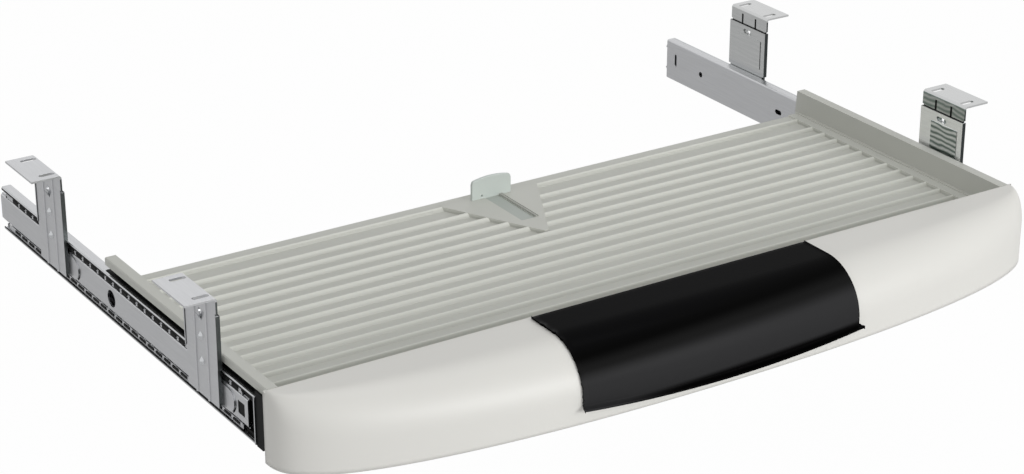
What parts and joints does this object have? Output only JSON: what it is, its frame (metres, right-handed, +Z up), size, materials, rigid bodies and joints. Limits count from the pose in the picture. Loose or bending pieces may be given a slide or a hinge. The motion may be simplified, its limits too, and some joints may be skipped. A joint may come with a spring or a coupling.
{
  "type": "keyboard tray under desk",
  "caption": "Pull-out keyboard tray on ball-bearing slides, with a ribbed floor, a bowed front with a wrist pad, a cable tab and height-adjustable desk brackets.",
  "frame": {"origin": "centre of the four desk flanges, on the plane of their upper faces, halfway between the front and rear brackets", "axes": "+X to the right across the tray, seen from the user; +Y to the rear, away from the user; +Z up, into the desk"},
  "size_m": [0.7402, 0.5506, 0.1027],
  "materials": {
    "satin_zinc": "satin zinc-plated sheet steel",
    "bright_zinc": "bright zinc-plated sheet steel",
    "ball_steel": "polished steel",
    "black_plastic": "matt black moulding",
    "grey_plastic": "light warm grey, fine moulded texture",
    "offwhite_plastic": "off-white, satin moulding",
    "gloss_black": "gloss black",
    "tab_plastic": "cool light grey moulding"
  },
  "bodies": {
    "hangers": {"hanger_front_left": "satin_zinc", "hanger_front_right": "bright_zinc", "hanger_rear_left": "satin_zinc", "hanger_rear_right": "bright_zinc"},
    "runners": {"sleeve_front_left": "satin_zinc", "sleeve_front_right": "bright_zinc", "sleeve_rear_left": "satin_zinc", "sleeve_rear_right": "bright_zinc", "fixed_runner_left": "satin_zinc", "fixed_runner_right": "satin_zinc", "runner_stop_left": "black_plastic", "runner_stop_right": "black_plastic", "bracket_rivets_left": "satin_zinc", "bracket_rivets_right": "satin_zinc"},
    "cage_left": {"ball_cage_left": "satin_zinc", "bearing_balls_left": "ball_steel"},
    "cage_right": {"ball_cage_right": "satin_zinc", "bearing_balls_right": "ball_steel"},
    "tray": {"tray_channel_left": "satin_zinc", "tray_channel_right": "satin_zinc", "channel_bumper_left": "black_plastic", "channel_bumper_right": "black_plastic", "side_plate_left": "black_plastic", "side_plate_right": "black_plastic", "channel_screws_left": "ball_steel", "channel_screws_right": "ball_steel", "tray_shell": "grey_plastic", "front_fascia": "offwhite_plastic", "wrist_pad": "gloss_black", "cable_tab": "tab_plastic"}
  },
  "joints": [
    {"name": "height_adjust", "type": "slide", "parent": "hangers", "child": "runners", "axis": [0, 0, 1], "range_m": [-0.04, 0]},
    {"name": "tray_slide", "type": "slide", "parent": "runners", "child": "tray", "axis": [0, -1, 0], "range_m": [0, 0.23]},
    {"name": "cage_left_slide", "type": "slide", "parent": "runners", "child": "cage_left", "axis": [0, -1, 0], "range_m": [0, 0.115]},
    {"name": "cage_right_slide", "type": "slide", "parent": "runners", "child": "cage_right", "axis": [0, -1, 0], "range_m": [0, 0.115]}
  ],
  "couplings": [
    {"joint": "cage_left_slide", "follows": "tray_slide", "ratio": 0.5},
    {"joint": "cage_right_slide", "follows": "tray_slide", "ratio": 0.5}
  ]
}
